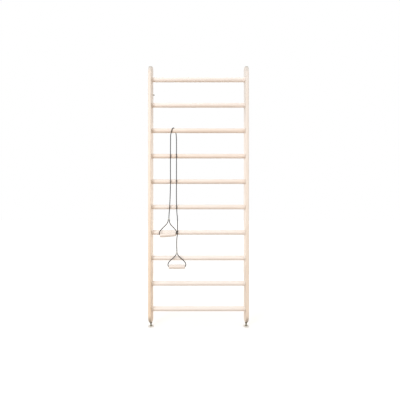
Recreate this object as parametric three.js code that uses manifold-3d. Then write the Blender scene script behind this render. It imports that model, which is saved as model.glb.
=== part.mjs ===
// Swedish wall bars: two uprights with swept front corners, ten round rungs let into blind seats, two wall
// plates, two screw feet, and a pull cord with two wooden grips hung over the third rung from the top.
// Millimetres, +Z up. The front faces -Y, the wall is at the back of the uprights, and the origin lies on the
// floor under the middle of the bars.
import * as THREE from "three";
import { mergeVertices } from "three/addons/utils/BufferGeometryUtils.js";
import Module from "manifold-3d";

const wasm = await Module();
wasm.setup();

// Fits
const touchGap = 0.3; // between two pieces that touch
const cutPast = 1; // how far a cutter runs out of the face that it opens

// Uprights: boards on edge, the same on both sides
const clearWidth = 816; // between the uprights
const uprightThickness = 26;
const uprightDepth = 120;
const uprightFrontRadius = 88; // front corners of the board, seen from the side
const uprightBackRadius = 8; // back corners, which stand against the wall
const uprightEdgeRound = 6;
const overhang = 125; // from the middle of the top or lowest rung to the end of the upright

// Rungs
const rungCount = 10;
const rungDiameter = 40;
const rungPitch = 224;
const rungSeatDepth = 15;
const rungEndChamfer = 1.5;
const rungSides = 16;

// Screws that draw the uprights onto the rungs, one in each rung end
const rungScrewDiameter = 6;
const rungScrewHead = 12;
const rungScrewLength = 60;
const rungScrewTip = 7;
const screwSink = 0.4; // head below the surface
const screwSides = 10;

// Wall plates: flat steel let into the back edges, each with an ear past one face for the wall screw. Both ears
// point to +X, so the left one is on the inner face and the right one on the outer face.
const plateWidth = 14;
const plateHeight = 46;
const plateThickness = 3;
const earHeight = 14;
const earReach = 12; // past the upright's face
const wallHole = 5.5;
const plateScrewSpacing = 30;
const plateScrewDiameter = 4;
const plateScrewHead = 8;
const plateScrewLength = 25;
const plateScrewTip = 4;

// Screw feet
const footLength = 36; // floor to the upright's lower end
const footSetBack = 12; // behind the middle of the upright's depth
const insertFlange = 22; // let in flush with the upright's lower end
const insertFlangeThickness = 2.5;
const insertBarrel = 17;
const insertLength = 38;
const nutAcrossFlats = 19;
const nutHeight = 6;
const nutChamfer = 1.2;
const stemDiameter = 12;
const stemLength = 80;
const stemBase = 20;
const stemBaseThickness = 3;
const stemConeHeight = 8;
const stemChamfer = 1;
const stemTravelRoom = 20; // free bore over the stem
const stemSideRoom = 0.8;
const padDiameter = 50;
const padThickness = 6;
const padRecess = 1.5;
const padRimRound = 2;

// Pull cord, its sleeves and its grips
const cordDiameter = 7; // of the strands and of the yokes through the grips
const cordSides = 8;
const hungRung = 8; // counted from the lowest
const gripLength = 138;
const gripDiameter = 36;
const gripEndDiameter = 33;
const gripEndRound = 4;
const gripBoreRoom = 0.5; // between the yoke cord and the bore
const gripMouthFlare = 7.5;
const gripMouthDepth = 9;
const gripSides = 20;
const sleeveLength = 16;
const sleeveTop = 11;
const sleeveBottom = 19;
const sleeveEdge = 1;
const legsApart = 11; // the two legs of a yoke where they leave the sleeve

// Places worked out from the sizes
const innerFace = clearWidth / 2;
const outerFace = innerFace + uprightThickness;
const uprightMiddle = innerFace + uprightThickness / 2;
const wallPlane = uprightDepth / 2;
const rungHeight = (number) => footLength + overhang + (number - 1) * rungPitch;
const uprightLength = (rungCount - 1) * rungPitch + 2 * overhang;
const plateMiddle = rungHeight(rungCount) - rungPitch / 2;
const plateScrewHeights = [-1, 1].map((side) => plateMiddle + (side * plateScrewSpacing) / 2);

// Finishes
const finishes = {
  wood: { color: 0xecd2b4, roughness: 0.55, metalness: 0 },
  zinc: { color: 0x8f8c84, roughness: 0.4, metalness: 1 },
  palePlastic: { color: 0xe6e5e0, roughness: 0.6, metalness: 0 },
  blackCord: { color: 0x1c1c1e, roughness: 0.85, metalness: 0 },
};

function piece(name, geometry, finish) {
  const mesh = new THREE.Mesh(geometry, new THREE.MeshStandardMaterial(finishes[finish]));
  mesh.name = name;
  return mesh;
}

// A geometry as a solid, and back
function solidOf(geometry) {
  const bare = geometry.clone();
  bare.deleteAttribute("normal");
  bare.deleteAttribute("uv");
  const merged = mergeVertices(bare, 1e-4);
  return new wasm.Manifold(
    new wasm.Mesh({
      numProp: 3,
      vertProperties: new Float32Array(merged.attributes.position.array),
      triVerts: new Uint32Array(merged.index.array),
    }),
  );
}

function geometryOf(solid) {
  const mesh = solid.getMesh();
  const geometry = new THREE.BufferGeometry();
  geometry.setAttribute("position", new THREE.BufferAttribute(mesh.vertProperties, 3));
  geometry.setIndex(new THREE.BufferAttribute(mesh.triVerts, 1));
  geometry.computeVertexNormals();
  return geometry;
}

const cut = (geometry, cutters) =>
  geometryOf(cutters.reduce((left, cutter) => left.subtract(solidOf(cutter)), solidOf(geometry)));
const joined = (geometries) => geometryOf(geometries.map(solidOf).reduce((sum, next) => sum.add(next)));

// A turned piece from [radius, place along the axis] points, the places rising
function turned(profile, axis, sides) {
  const geometry = new THREE.LatheGeometry(
    profile.map(([radius, along]) => new THREE.Vector2(radius, along)),
    sides,
  );
  if (axis === "x") return geometry.rotateZ(-Math.PI / 2);
  if (axis === "z") return geometry.rotateX(Math.PI / 2);
  return geometry;
}

const polygon = (radius, sides) =>
  Array.from({ length: sides }, (_, i) => {
    const angle = (i / sides) * 2 * Math.PI;
    return new THREE.Vector2(radius * Math.cos(angle), radius * Math.sin(angle));
  });

// A countersunk wood screw along X, its head at 0 and its tip at +length
function woodScrew(diameter, head, length, tip) {
  const radius = diameter / 2;
  const headHeight = (head - diameter) / 2;
  const profile = [
    [0, 0],
    [head / 2, 0],
    [radius, headHeight],
    [radius, length - tip],
    [0, length],
  ];
  return turned(profile, "x", screwSides);
}

// The board of an upright on the +X side, before it is bored
function uprightBoard() {
  const back = uprightDepth / 2 - uprightBackRadius;
  const front = uprightFrontRadius - uprightDepth / 2;
  const quarter = Math.PI / 2;
  const outline = new THREE.Shape();
  outline.absarc(back, uprightBackRadius, uprightBackRadius, -quarter, 0);
  outline.absarc(back, uprightLength - uprightBackRadius, uprightBackRadius, 0, quarter);
  outline.absarc(front, uprightLength - uprightFrontRadius, uprightFrontRadius, quarter, 2 * quarter);
  outline.absarc(front, uprightFrontRadius, uprightFrontRadius, 2 * quarter, 3 * quarter);
  const board = new THREE.ExtrudeGeometry(outline, {
    depth: uprightThickness - 2 * uprightEdgeRound,
    bevelThickness: uprightEdgeRound,
    bevelSize: uprightEdgeRound,
    bevelOffset: -uprightEdgeRound,
    bevelSegments: 2,
    curveSegments: 5,
  });
  const alongY = new THREE.Vector3(0, 1, 0);
  const alongZ = new THREE.Vector3(0, 0, 1);
  const alongX = new THREE.Vector3(1, 0, 0);
  board.applyMatrix4(new THREE.Matrix4().makeBasis(alongY, alongZ, alongX));
  return board.translate(innerFace + uprightEdgeRound, 0, footLength);
}

// The blind seat of a rung
function rungSeatCutter(height) {
  const seat = rungDiameter / 2 + touchGap;
  const floor = innerFace + rungSeatDepth;
  const profile = [
    [0, innerFace - cutPast],
    [seat, innerFace - cutPast],
    [seat, floor],
    [0, floor],
  ];
  return turned(profile, "x", rungSides).translate(0, 0, height);
}

// The way through for a rung's screw
function rungScrewCutter(height) {
  const shank = rungScrewDiameter / 2 + touchGap;
  const head = rungScrewHead / 2 + touchGap;
  const sunk = outerFace - screwSink;
  const profile = [
    [0, innerFace],
    [shank, innerFace],
    [shank, sunk - head + shank],
    [head, sunk],
    [head, outerFace + cutPast],
    [0, outerFace + cutPast],
  ];
  return turned(profile, "x", screwSides).translate(0, 0, height);
}

// The stepped bore for a foot's insert, with its flat for the flange, and for the free end of the stem
function footBoreCutter() {
  const flange = insertFlange / 2 + touchGap;
  const barrel = insertBarrel / 2 + touchGap;
  const stem = stemDiameter / 2 + stemSideRoom;
  const flangeSeat = footLength + insertFlangeThickness + touchGap;
  const barrelTop = footLength + insertLength + touchGap;
  const stemTop = padThickness - padRecess + stemLength + stemTravelRoom;
  const profile = [
    [0, footLength - cutPast],
    [flange, footLength - cutPast],
    [flange, flangeSeat],
    [barrel, flangeSeat],
    [barrel, barrelTop],
    [stem, barrelTop],
    [stem, stemTop],
    [0, stemTop],
  ];
  return turned(profile, "z", rungSides).translate(uprightMiddle, footSetBack, 0);
}

// The let-in place of a wall plate, open towards one face for the ear
function plateRecessCutters(earWay) {
  const depth = plateThickness + touchGap + cutPast;
  const middleY = wallPlane + cutPast - depth / 2;
  const body = new THREE.BoxGeometry(plateWidth + 2 * touchGap, depth, plateHeight + 2 * touchGap);
  const earOpening = uprightThickness / 2 + cutPast;
  const ear = new THREE.BoxGeometry(earOpening, depth, earHeight + 2 * touchGap);
  return [
    body.translate(uprightMiddle, middleY, plateMiddle),
    ear.translate(uprightMiddle + (earWay * earOpening) / 2, middleY, plateMiddle),
  ];
}

function plateScrewCutter(height) {
  const radius = plateScrewDiameter / 2 + touchGap;
  const end = wallPlane - screwSink - plateScrewLength - touchGap;
  const profile = [
    [0, end],
    [radius, end],
    [radius, wallPlane + cutPast],
    [0, wallPlane + cutPast],
  ];
  return turned(profile, "y", screwSides).translate(uprightMiddle, 0, height);
}

function upright(earWay) {
  const rungHeights = Array.from({ length: rungCount }, (_, i) => rungHeight(i + 1));
  return cut(uprightBoard(), [
    ...rungHeights.map(rungSeatCutter),
    ...rungHeights.map(rungScrewCutter),
    footBoreCutter(),
    ...plateRecessCutters(earWay),
    ...plateScrewHeights.map(plateScrewCutter),
  ]);
}

// A rung along X, with a pilot bore for a screw in each end
function rung() {
  const end = innerFace + rungSeatDepth - touchGap;
  const radius = rungDiameter / 2;
  const bore = rungScrewDiameter / 2 + touchGap;
  const boreEnd = outerFace - screwSink - rungScrewLength - touchGap;
  const profile = [
    [0, -boreEnd],
    [bore, -boreEnd],
    [bore, -end],
    [radius - rungEndChamfer, -end],
    [radius, -end + rungEndChamfer],
    [radius, end - rungEndChamfer],
    [radius - rungEndChamfer, end],
    [bore, end],
    [bore, boreEnd],
    [0, boreEnd],
  ];
  return turned(profile, "x", rungSides);
}

// A wall plate on the +X side: a body on the upright's back edge and a round-ended ear beside it. It is the same
// piece on both sides, turned half round where its ear points the other way.
function wallPlate(earWay) {
  const half = plateWidth / 2;
  const high = plateHeight / 2;
  const ear = earHeight / 2;
  const earCentre = ear - earReach - uprightThickness / 2; // from the middle of the upright
  const outline = new THREE.Shape();
  outline.moveTo(-half, -ear);
  outline.lineTo(-half, -high);
  outline.lineTo(half, -high);
  outline.lineTo(half, high);
  outline.lineTo(-half, high);
  outline.lineTo(-half, ear);
  outline.absarc(earCentre, 0, ear, Math.PI / 2, (3 * Math.PI) / 2);
  outline.closePath();
  const hole = polygon(wallHole / 2, rungSides).map((point) => point.add(new THREE.Vector2(earCentre, 0)));
  outline.holes.push(new THREE.Path(hole));
  const blank = new THREE.ExtrudeGeometry(outline, {
    depth: plateThickness,
    bevelEnabled: false,
    curveSegments: 5,
  });
  blank.rotateX(Math.PI / 2);
  if (earWay > 0) blank.rotateY(Math.PI);
  blank.translate(uprightMiddle, wallPlane, plateMiddle);
  const shank = plateScrewDiameter / 2 + touchGap;
  const head = plateScrewHead / 2 + touchGap;
  const sunk = wallPlane - screwSink;
  const holes = plateScrewHeights.map((height) =>
    turned(
      [
        [0, wallPlane - plateThickness - cutPast],
        [shank, wallPlane - plateThickness - cutPast],
        [shank, sunk - head + shank],
        [head, sunk],
        [head, wallPlane + cutPast],
        [0, wallPlane + cutPast],
      ],
      "y",
      screwSides,
    ).translate(uprightMiddle, 0, height),
  );
  return cut(blank, holes);
}

function footInsert() {
  const bore = stemDiameter / 2 + touchGap;
  const seat = footLength + insertFlangeThickness;
  const profile = [
    [bore, footLength],
    [insertFlange / 2, footLength],
    [insertFlange / 2, seat],
    [insertBarrel / 2, seat],
    [insertBarrel / 2, footLength + insertLength],
    [bore, footLength + insertLength],
    [bore, footLength],
  ];
  return turned(profile, "z", rungSides);
}

// A hexagon nut whose corners are turned off at both faces
function footNut() {
  const top = footLength - touchGap;
  const bottom = top - nutHeight;
  const corner = nutAcrossFlats / 2 / Math.cos(Math.PI / 6);
  const hexagon = new THREE.Shape(polygon(corner, 6));
  hexagon.holes.push(new THREE.Path(polygon(stemDiameter / 2 + touchGap, rungSides)));
  const prism = new THREE.ExtrudeGeometry(hexagon, { depth: nutHeight, bevelEnabled: false });
  const blank = turned(
    [
      [0, bottom],
      [corner - nutChamfer, bottom],
      [corner, bottom + nutChamfer],
      [corner, top - nutChamfer],
      [corner - nutChamfer, top],
      [0, top],
    ],
    "z",
    2 * 6,
  );
  return geometryOf(solidOf(prism.translate(0, 0, bottom)).intersect(solidOf(blank)));
}

function footStem() {
  const bottom = padThickness - padRecess + touchGap;
  const radius = stemDiameter / 2;
  const shoulder = bottom + stemBaseThickness;
  const top = bottom + stemLength;
  const profile = [
    [0, bottom],
    [stemBase / 2, bottom],
    [stemBase / 2, shoulder],
    [radius, shoulder + stemConeHeight],
    [radius, top - stemChamfer],
    [radius - stemChamfer, top],
    [0, top],
  ];
  return turned(profile, "z", rungSides);
}

function footPad() {
  const radius = padDiameter / 2;
  const recess = stemBase / 2 + touchGap;
  const profile = [
    [0, 0],
    [radius, 0],
    [radius, padThickness - padRimRound],
    [radius - padRimRound, padThickness],
    [recess, padThickness],
    [recess, padThickness - padRecess],
    [0, padThickness - padRecess],
  ];
  return turned(profile, "z", 2 * rungSides);
}

// Everything that both sides have, made for +X and mirrored for the left, where the ear's way turns round too
function sideGroup(side, sign) {
  const group = new THREE.Group();
  group.scale.x = sign;
  group.add(piece(`upright_${side}`, upright(sign), "wood"));
  for (let number = 1; number <= rungCount; number += 1) {
    const screw = woodScrew(rungScrewDiameter, rungScrewHead, rungScrewLength, rungScrewTip).rotateZ(Math.PI);
    const mesh = piece(`rung_screw_${side}_${String(number).padStart(2, "0")}`, screw, "zinc");
    mesh.position.set(outerFace - screwSink, 0, rungHeight(number));
    group.add(mesh);
  }
  group.add(piece(`wall_plate_${side}`, wallPlate(sign), "zinc"));
  plateScrewHeights.forEach((height, index) => {
    const screw = woodScrew(plateScrewDiameter, plateScrewHead, plateScrewLength, plateScrewTip);
    const mesh = piece(`plate_screw_${side}_${index + 1}`, screw.rotateZ(-Math.PI / 2), "zinc");
    mesh.position.set(uprightMiddle, wallPlane - screwSink, height);
    group.add(mesh);
  });
  const foot = new THREE.Group();
  foot.position.set(uprightMiddle, footSetBack, 0);
  foot.add(piece(`foot_insert_${side}`, footInsert(), "zinc"));
  foot.add(piece(`foot_nut_${side}`, footNut(), "zinc"));
  foot.add(piece(`foot_stem_${side}`, footStem(), "zinc"));
  foot.add(piece(`foot_pad_${side}`, footPad(), "palePlastic"));
  group.add(foot);
  return group;
}

// A cord's curve, with one step of the tube at each of its chosen points
class Route extends THREE.CatmullRomCurve3 {
  constructor(points) {
    super(points.map((point) => new THREE.Vector3(...point)), false, "centripetal");
  }

  getPointAt(share, target) {
    return this.getPoint(share, target);
  }

  getTangentAt(share, target) {
    return this.getTangent(share, target);
  }
}

function tube(points) {
  return new THREE.ExtrudeGeometry(new THREE.Shape(polygon(cordDiameter / 2, cordSides)), {
    steps: points.length - 1,
    bevelEnabled: false,
    extrudePath: new Route(points),
  });
}

// The stretch that lies on the bars: over the hung rung from the front to the back, then under it to the front
// of the next rung down
const turnRadius = rungDiameter / 2 + cordDiameter / 2 + 2 * touchGap;
const turnStep = Math.PI / 12;
const turnSteps = 12;
const turnFrontX = -232.6;
const turnBackX = -204;
const frontOfHungRung = [
  [-243.4, -24.5, 1671],
  [-242.8, -24.4, 1683],
  [-240.4, -24.3, 1697],
  [-236.8, -24.2, 1713],
];
const backToNextRung = [
  [-200.5, 21, 1710],
  [-196.2, 12.4, 1671],
  [-194.2, 0, 1615],
  [-193, -12, 1559],
  [-192.3, -21.4, 1521],
  [-192.1, -24.2, 1503],
  [-192.1, -24.4, 1471],
];

function cordOnBars() {
  const turn = Array.from({ length: turnSteps + 1 }, (_, i) => {
    const angle = Math.PI - i * turnStep;
    return [
      turnFrontX + ((turnBackX - turnFrontX) * i) / turnSteps,
      turnRadius * Math.cos(angle),
      rungHeight(hungRung) + turnRadius * Math.sin(angle),
    ];
  });
  return tube([...frontOfHungRung, ...turn, ...backToNextRung]);
}

// The two hanging ends. A strand runs down to its sleeve. A leg's points are [outward, up] from the middle of
// the grip, from the bore to the sleeve.
const handles = {
  left: {
    strand: [
      [-243.4, -24.5, 1671 - touchGap],
      [-244.2, -26, 1581],
      [-244.3, -28.9, 1391],
      [-244.2, -31.6, 1241],
      [-247.5, -33.7, 1121],
      [-253.2, -35.4, 1021],
      [-256.3, -36.3, 981],
    ],
    sleeve: [-256.8, -36.9, 941],
    grip: [-265.2, -39, 817],
    tilt: THREE.MathUtils.degToRad(-4.5),
    leg: [
      [35, 0],
      [54, 0],
      [60, 0.1],
      [65.4, 1.1],
      [69.9, 4.1],
      [72.9, 8.6],
      [74, 14],
      [73.8, 21],
      [71.5, 29],
      [67, 37.5],
      [60.2, 46],
      [44.2, 63.5],
      [27.3, 80.5],
      [18.8, 89.5],
      [12.8, 98.5],
      [9, 107],
      [6.6, 115.5],
    ],
  },
  right: {
    strand: [
      [-192.1, -24.4, 1471 - touchGap],
      [-192.1, -26.5, 1281],
      [-192.1, -27, 1121],
      [-188.5, -27.3, 1014],
      [-183.4, -27.6, 951],
      [-182.8, -28, 871],
      [-183.6, -28.4, 827],
      [-188.4, -29.4, 781],
      [-189.6, -32.6, 721],
      [-187.8, -36.6, 687],
    ],
    sleeve: [-187.4, -37.2, 650.5],
    grip: [-187.4, -39, 541],
    tilt: 0,
    leg: [
      [35, 0],
      [57, 0],
      [63, 0.1],
      [68.4, 1.1],
      [72.9, 4.1],
      [75.9, 8.6],
      [77, 14],
      [76.6, 23],
      [73.6, 32],
      [67.5, 41.5],
      [57.4, 53],
      [36.8, 70.5],
      [19.4, 87.5],
      [12.8, 95.5],
      [8.4, 102.5],
    ],
  },
};

// The yoke's points in space: near the grip they turn with it, and towards the sleeve they lean over to it
function yokeRoute({ sleeve, grip, tilt, leg }) {
  const rise = sleeve[2] - grip[2];
  const place = (side) => ([outward, up]) => {
    const lean = up / rise;
    const turnedX = side * outward * Math.cos(tilt) + up * Math.sin(tilt);
    const turnedZ = up * Math.cos(tilt) - side * outward * Math.sin(tilt);
    return [
      grip[0] + turnedX * (1 - lean) + (side * outward + sleeve[0] - grip[0]) * lean,
      grip[1] + (sleeve[1] - grip[1]) * lean,
      grip[2] + turnedZ * (1 - lean) + up * lean,
    ];
  };
  const legTop = [legsApart / 2, rise];
  const left = [...leg, legTop].map(place(-1)).reverse();
  const right = [...leg, legTop].map(place(1));
  return [...left, ...right];
}

// The loop of cord through a grip, with round ends at the sleeve
function yoke(handle) {
  const route = yokeRoute(handle);
  const end = ([x, y, z]) => new THREE.SphereGeometry(cordDiameter / 2, cordSides, 6).translate(x, y, z);
  return joined([tube(route), end(route[0]), end(route[route.length - 1])]);
}

// A turned wooden grip, bored along its length, with eased mouths
function grip() {
  const half = gripLength / 2;
  const bore = cordDiameter / 2 + gripBoreRoom;
  const endRadius = gripEndDiameter / 2;
  const profile = [
    [bore, gripMouthDepth - half],
    [bore + gripMouthFlare, -half],
    [endRadius - gripEndRound, -half],
    [endRadius - gripEndRound / 4, gripEndRound / 3 - half],
    [endRadius, gripEndRound - half],
    [gripDiameter / 2, 0],
    [endRadius, half - gripEndRound],
    [endRadius - gripEndRound / 4, half - gripEndRound / 3],
    [endRadius - gripEndRound, half],
    [bore + gripMouthFlare, half],
    [bore, half - gripMouthDepth],
    [bore, gripMouthDepth - half],
  ];
  return turned(profile, "x", gripSides);
}

// The pressed sleeve that holds the strand to the two legs of a yoke, from its lower end at 0
function sleeve() {
  const profile = [
    [0, 0],
    [sleeveBottom / 2 - sleeveEdge, 0],
    [sleeveBottom / 2, sleeveEdge],
    [sleeveBottom / 2, sleeveLength / 4],
    [sleeveTop / 2, (3 * sleeveLength) / 4],
    [sleeveTop / 2, sleeveLength - sleeveEdge],
    [sleeveTop / 2 - sleeveEdge, sleeveLength],
    [0, sleeveLength],
  ];
  return turned(profile, "z", gripSides);
}

function handleGroup(side) {
  const handle = handles[side];
  const [x, y, z] = handle.sleeve;
  const sleeveFoot = z + cordDiameter / 2 + touchGap;
  const strandEnd = [x, y, sleeveFoot + sleeveLength + touchGap];
  const group = new THREE.Group();
  group.add(piece(`strand_${side}`, tube([...handle.strand, strandEnd]), "blackCord"));
  const sleeveMesh = piece(`cord_sleeve_${side}`, sleeve(), "zinc");
  sleeveMesh.position.set(x, y, sleeveFoot);
  group.add(sleeveMesh);
  group.add(piece(`yoke_${side}`, yoke(handle), "blackCord"));
  const gripMesh = piece(`grip_${side}`, grip(), "wood");
  gripMesh.position.set(...handle.grip);
  gripMesh.rotation.y = handle.tilt;
  group.add(gripMesh);
  return group;
}

const wallBars = new THREE.Group();
wallBars.add(sideGroup("left", -1));
wallBars.add(sideGroup("right", 1));
for (let number = 1; number <= rungCount; number += 1) {
  const mesh = piece(`rung_${String(number).padStart(2, "0")}`, rung(), "wood");
  mesh.position.z = rungHeight(number);
  wallBars.add(mesh);
}
wallBars.add(piece("cord_on_bars", cordOnBars(), "blackCord"));
wallBars.add(handleGroup("left"));
wallBars.add(handleGroup("right"));

export default wallBars;
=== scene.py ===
import bmesh
import bpy
import math
from functools import partial
from mathutils import Matrix, Vector


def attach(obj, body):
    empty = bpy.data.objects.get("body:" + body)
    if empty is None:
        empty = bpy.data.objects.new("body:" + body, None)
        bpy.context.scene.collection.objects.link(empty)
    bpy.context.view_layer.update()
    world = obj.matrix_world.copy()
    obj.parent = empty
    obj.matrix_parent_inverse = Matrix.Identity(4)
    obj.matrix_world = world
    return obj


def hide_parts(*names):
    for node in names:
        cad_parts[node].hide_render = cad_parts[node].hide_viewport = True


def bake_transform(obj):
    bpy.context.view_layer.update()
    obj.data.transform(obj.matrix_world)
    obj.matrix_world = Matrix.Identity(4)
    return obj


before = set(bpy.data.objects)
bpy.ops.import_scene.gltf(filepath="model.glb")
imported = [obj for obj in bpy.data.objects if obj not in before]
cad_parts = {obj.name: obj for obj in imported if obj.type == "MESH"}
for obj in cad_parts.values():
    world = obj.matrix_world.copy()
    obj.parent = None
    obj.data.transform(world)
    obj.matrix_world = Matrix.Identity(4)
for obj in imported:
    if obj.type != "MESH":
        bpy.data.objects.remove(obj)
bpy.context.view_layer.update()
scene = bpy.context.scene
scene.view_settings.view_transform = "Standard"
sideSigns = {"left": -1, "right": 1}
xWay, yWay, zWay = Vector((1, 0, 0)), Vector((0, 1, 0)), Vector((0, 0, 1))
print("frame loaded")


def addObject(name, data):
    obj = bpy.data.objects.new(name, data)
    scene.collection.objects.link(obj)
    return obj


def linear(hexColour):  # an sRGB hex value as linear RGBA
    parts = [int(hexColour[i : i + 2], 16) / 255 for i in (1, 3, 5)]
    return [c / 12.92 if c <= 0.04045 else ((c + 0.055) / 1.055) ** 2.4 for c in parts] + [1.0]


def setNode(node, values=None, links=None):
    for key, value in (values or {}).items():
        node.inputs[key].default_value = value
    for key, (source, output) in (links or {}).items():
        node.id_data.links.new(source.outputs[output], node.inputs[key])
    return node


def addNode(tree, family, kind, settings=None, values=None, links=None):
    node = tree.nodes.new(family + kind)
    for key, value in (settings or {}).items():
        setattr(node, key, value)
    return setNode(node, values, links)


def emptyTree(owner):  # clears a material or world, and gives the function that adds nodes to it
    owner.use_nodes = True
    owner.node_tree.nodes.clear()
    return partial(addNode, owner.node_tree, "ShaderNode")


def newMaterial(name):  # a material with only its shader and output
    material = bpy.data.materials.new(name)
    add = emptyTree(material)
    shader = add("BsdfPrincipled")
    add("OutputMaterial", links={"Surface": (shader, "BSDF")})
    return material, add, shader


def setRamp(ramp, stops):
    elements = ramp.color_ramp.elements
    while len(elements) < len(stops):
        elements.new(0.5)
    for element, (at, colour) in zip(elements, stops):
        element.position = at
        element.color = linear(colour)


# Camera: level, in front of the bars, a little right of their middle
viewpoint = {"place": (0.0129, -2.368, 1.1187), "lens": 24.19, "sensor": 36.0}
cameraData = bpy.data.cameras.new("camera")
cameraData.lens = viewpoint["lens"]
cameraData.sensor_width = viewpoint["sensor"]
camera = addObject("camera", cameraData)
camera.location = viewpoint["place"]
camera.rotation_euler = (math.radians(90), 0, 0)
scene.camera = camera
print("camera set")

# Braided polyester: a small diamond relief, painted shade darker in the grooves between the strands, and a
# dull sheen
cordFinish = {
    "dark": "#0a0a0b", "light": "#1e1e20",
    "roughness": 0.8, "specular": 0.3, "sheen": 0.06,
    "plait": 0.0022,  # length of one diamond
    "strandsRound": 8, "relief": 0.0006,
}


def braidedCord():
    material, add, shader = newMaterial("braidedPolyester")
    uv = add("UVMap", {"uv_map": "cordMap"})
    parts = add("SeparateXYZ", links={"Vector": (uv, "UV")})
    plait, strands = {1: cordFinish["plait"]}, {1: cordFinish["strandsRound"]}
    along = add("Math", {"operation": "DIVIDE"}, plait, {0: (parts, "X")})
    around = add("Math", {"operation": "MULTIPLY"}, strands, {0: (parts, "Y")})
    ridges = []
    for winding in ("ADD", "SUBTRACT"):  # half of the strands wind one way, half the other
        wound = add("Math", {"operation": winding}, links={0: (along, 0), 1: (around, 0)})
        ridges.append(add("Math", {"operation": "PINGPONG"}, {1: 0.5}, {0: (wound, 0)}))
    crossed = {0: (ridges[0], 0), 1: (ridges[1], 0)}
    height = add("Math", {"operation": "MULTIPLY"}, links=crossed)
    # the colour follows the relief height: painted shade, darker in the grooves and lighter on the crests
    ramp = add("ValToRGB", links={"Fac": (height, 0)})
    setRamp(ramp, [(0.0, cordFinish["dark"]), (0.25, cordFinish["light"])])
    depth = {"Strength": 0.6, "Distance": cordFinish["relief"]}
    bump = add("Bump", values=depth, links={"Height": (height, 0)})
    dull = {
        "Roughness": cordFinish["roughness"],
        "Specular IOR Level": cordFinish["specular"],
        "Sheen Weight": cordFinish["sheen"],
    }
    setNode(shader, dull, {"Base Color": (ramp, "Color"), "Normal": (bump, "Normal")})
    return material


# Pale birch under clear satin lacquer: long soft growth lines, fine fibre, darker end grain, a dull coat;
# on the boards the grey end tone is partly painted shade
upGrain = {"turn": (0, 0, 0), "heart": (0.05, 0.02, 0), "tilt": (0.012, 0.02, 0)}
crossGrain = {"turn": (0, math.radians(-90), 0), "heart": (0.03, 0.012, 0), "tilt": (0.02, 0.015, 0)}
birch = {
    "ringSpacing": 0.0042,
    "wavePeriod": 0.314,  # of the ring texture at scale 1
    "wander": (0.05, 0.05, 0.0),  # how far the rings wander off their circles
    "wanderCells": (9.0, 9.0, 0.9),  # in a metre, across and along the grain
    "fibreWidth": 0.0011,
    "fibreLength": 1 / 14,  # about 70 mm
    "patch": 0.2, "lineStrength": 0.45, "fibreStrength": 0.35, "patchStrength": 0.5,
    "relief": 0.0002, "roughness": (0.36, 0.5), "coat": 0.12, "coatRoughness": 0.3,
    "board": {
        "grain": upGrain,
        "pale": "#fbf4ee", "warm": "#f7ede3", "line": "#ebdbcb",
        # end: darker end grain; on the boards this grey is partly painted shade on the rounded ends
        "fibre": "#e6d4c0", "cast": "#fbf5ee", "end": "#a5a19a",
        "lean": {  # painted light: the boards grow warmer downwards, and the left one is warmer all over, the warm tint of bounced light
            "way": (-0.35, 0.0, -0.27), "least": -0.75, "most": 0.12,
            "casts": [(0.0, "#f6fafe"), (0.345, "#f9fafa"), (1.0, "#fff5e6")],
        },
    },
    "turned": {
        "grain": crossGrain,
        "pale": "#faf7f5", "warm": "#f7f0eb", "line": "#eee2d6",
        "fibre": "#e8dacc", "cast": "#fbf8f4", "end": "#d8bc9e",
        "lean": {  # each rung is its own stick: the low ones are palest, those above the middle warmest
            "way": (0.0, 0.0, 1.0), "least": 0.16, "most": 2.18,
            "casts": [(0.0, "#ffffff"), (0.25, "#ffffff"), (0.74, "#fbf3ec"), (0.9, "#fefcfb")],
        },
    },
    "grip": {
        "grain": crossGrain,
        "pale": "#f2edea", "warm": "#eee6df", "line": "#e4d7ca",
        "fibre": "#decfc0", "cast": "#fbf8f4", "end": "#d8bc9e",
    },
}


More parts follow.
